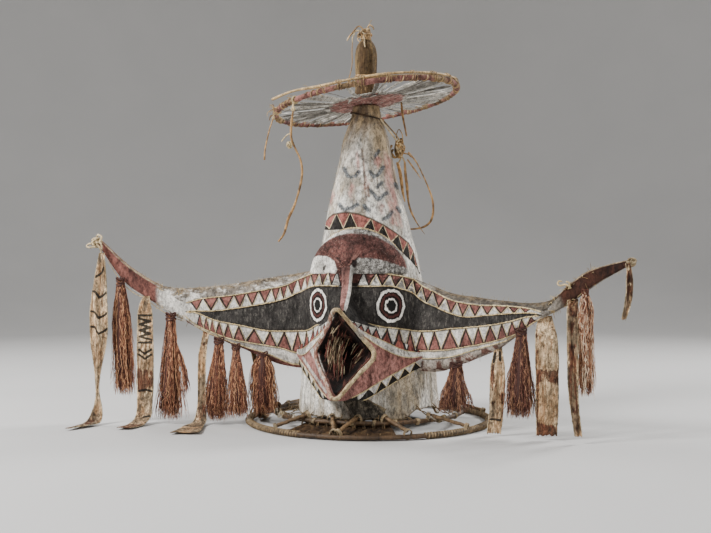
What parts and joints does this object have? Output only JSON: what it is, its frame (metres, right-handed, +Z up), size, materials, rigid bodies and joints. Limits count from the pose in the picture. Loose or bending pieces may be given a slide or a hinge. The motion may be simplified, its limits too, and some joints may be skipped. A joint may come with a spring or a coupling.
{
  "type": "dance mask",
  "caption": "Winged helmet mask of painted barkcloth on cane: a tall cone with a slatted crown disc, an open snout, upturned horns, a shoulder hoop, hanging strips and fibre tassels.",
  "frame": {"origin": "under the middle of the mask's box without its strings, on the plane that the shoulder hoop stands on", "axes": "+X along the wings to the viewer's right, +Y from the face to the back of the helmet, +Z up"},
  "size_m": [1.064, 0.5236, 0.7947],
  "materials": {
    "white_cloth": "white-painted barkcloth, matt and grey with wear",
    "pink_cloth": "barkcloth painted dusty pink, black and white, matt",
    "pale_cloth": "plain cream barkcloth, matt",
    "brown_cloth": "plain brown barkcloth, matt",
    "grey_cloth": "barkcloth painted grey-black, matt",
    "cane": "split and whole cane, dry, slight sheen",
    "fibre": "shredded plant fibre dyed red-brown",
    "string": "twisted bast string and split cane strands"
  },
  "bodies": {
    "root": {"crown_disc": "white_cloth", "crown_rim": "pink_cloth", "crown_cane": "cane", "helmet_shell": "white_cloth", "face_and_wings": "pink_cloth", "brow_dome": "pink_cloth", "snout": "pink_cloth", "mouth_rim": "pale_cloth", "mouth_reeds": "cane", "nose_ridge": "pink_cloth", "chin_flap": "grey_cloth", "finial": "brown_cloth", "finial_knot": "string", "shoulder_hoop": "cane", "inner_ring": "cane", "strut_1": "cane", "strut_2": "cane", "strut_3": "cane", "strut_4": "cane", "strut_5": "cane", "strut_6": "cane", "strut_7": "cane", "strut_8": "cane", "strut_9": "cane", "strut_10": "cane", "shoulder_cloth": "brown_cloth", "strip_1": "pale_cloth", "strip_2": "pale_cloth", "strip_3": "pale_cloth", "strip_4": "pale_cloth", "strip_5": "pale_cloth", "strip_6": "pale_cloth", "strip_7": "pale_cloth", "strip_8": "pale_cloth", "tassel_1": "fibre", "tassel_2": "fibre", "tassel_3": "fibre", "tassel_4": "fibre", "tassel_5": "fibre", "tassel_6": "fibre", "tassel_7": "fibre", "tassel_8": "fibre", "left_tip_knot": "string", "right_tip_knot": "string", "neck_tie": "string", "neck_knot": "string", "long_loop": "string", "side_strand": "string", "front_strand": "string", "rear_strand": "string", "disc_strand": "string", "crown_string_1": "string", "crown_string_2": "string", "finial_string": "string"}
  },
  "joints": []
}
